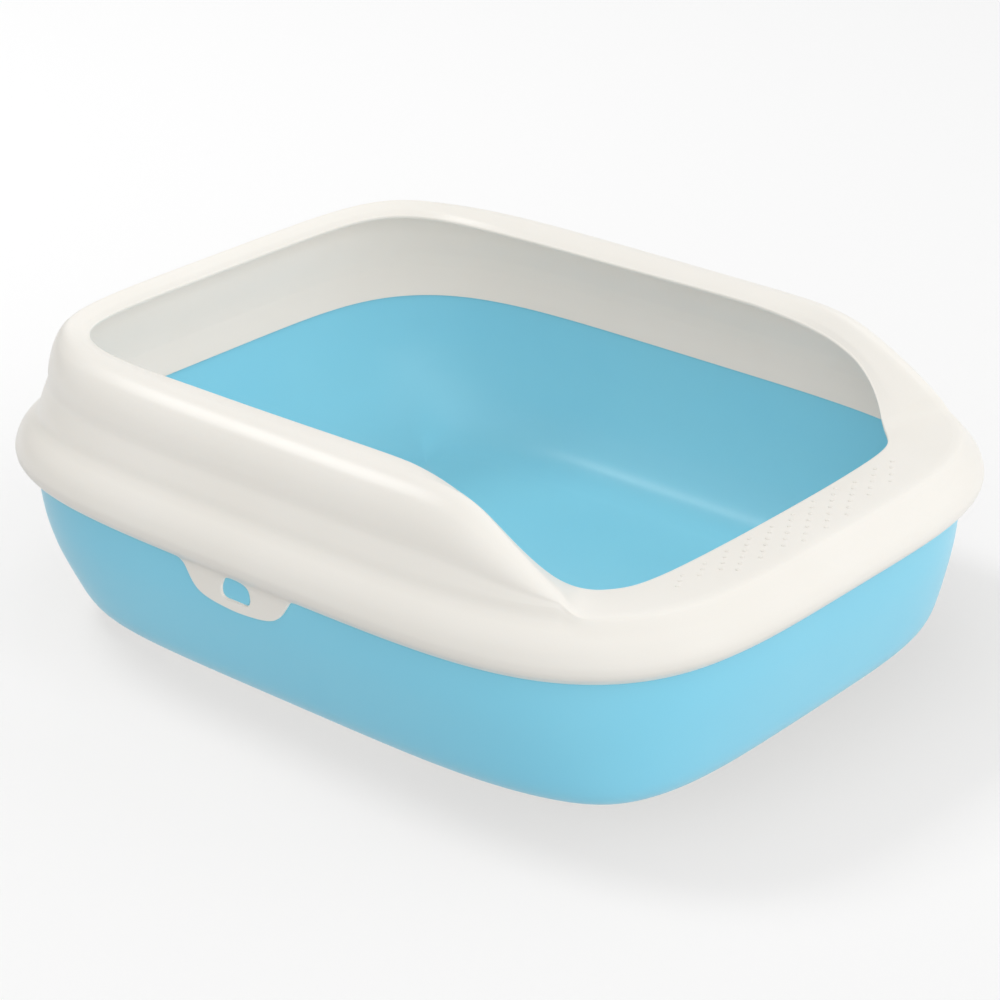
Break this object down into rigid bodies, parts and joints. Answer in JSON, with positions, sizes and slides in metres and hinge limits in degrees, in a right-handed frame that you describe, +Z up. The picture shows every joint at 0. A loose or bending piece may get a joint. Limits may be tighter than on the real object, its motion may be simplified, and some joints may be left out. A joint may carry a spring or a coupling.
{
  "type": "cat litter tray",
  "caption": "Open cat litter tray: a deep rounded pan with a clip-on raised splash guard, low entry side and two flexing latch tabs.",
  "frame": {"origin": "middle of the footprint on the floor, under the pan", "axes": "+Z up, the low entry side faces -Y, +X to the right seen from the entry, the tray's long side along Y"},
  "size_m": [0.4236, 0.5032, 0.1659],
  "materials": {
    "pan_plastic": "satin",
    "guard_plastic": "satin"
  },
  "bodies": {
    "pan_body": {"pan": "pan_plastic"},
    "guard_body": {"guard": "guard_plastic"},
    "left_latch_body": {"left_latch": "guard_plastic"},
    "right_latch_body": {"right_latch": "guard_plastic"}
  },
  "joints": [
    {"name": "guard_lift", "type": "slide", "parent": "pan_body", "child": "guard_body", "axis": [0, 0, 1], "range_m": [0, 0.12], "deforming": ["left_latch", "right_latch"]},
    {"name": "left_latch_flex", "type": "hinge", "parent": "guard_body", "child": "left_latch_body", "pos_m": [-0.2061, 0.0165, 0.0898], "axis": [0, 1, 0], "range_deg": [0, 14], "stiffness_Nm_per_rad": 0.5},
    {"name": "right_latch_flex", "type": "hinge", "parent": "guard_body", "child": "right_latch_body", "pos_m": [0.2061, 0.0165, 0.0898], "axis": [0, -1, 0], "range_deg": [0, 14], "stiffness_Nm_per_rad": 0.5}
  ]
}
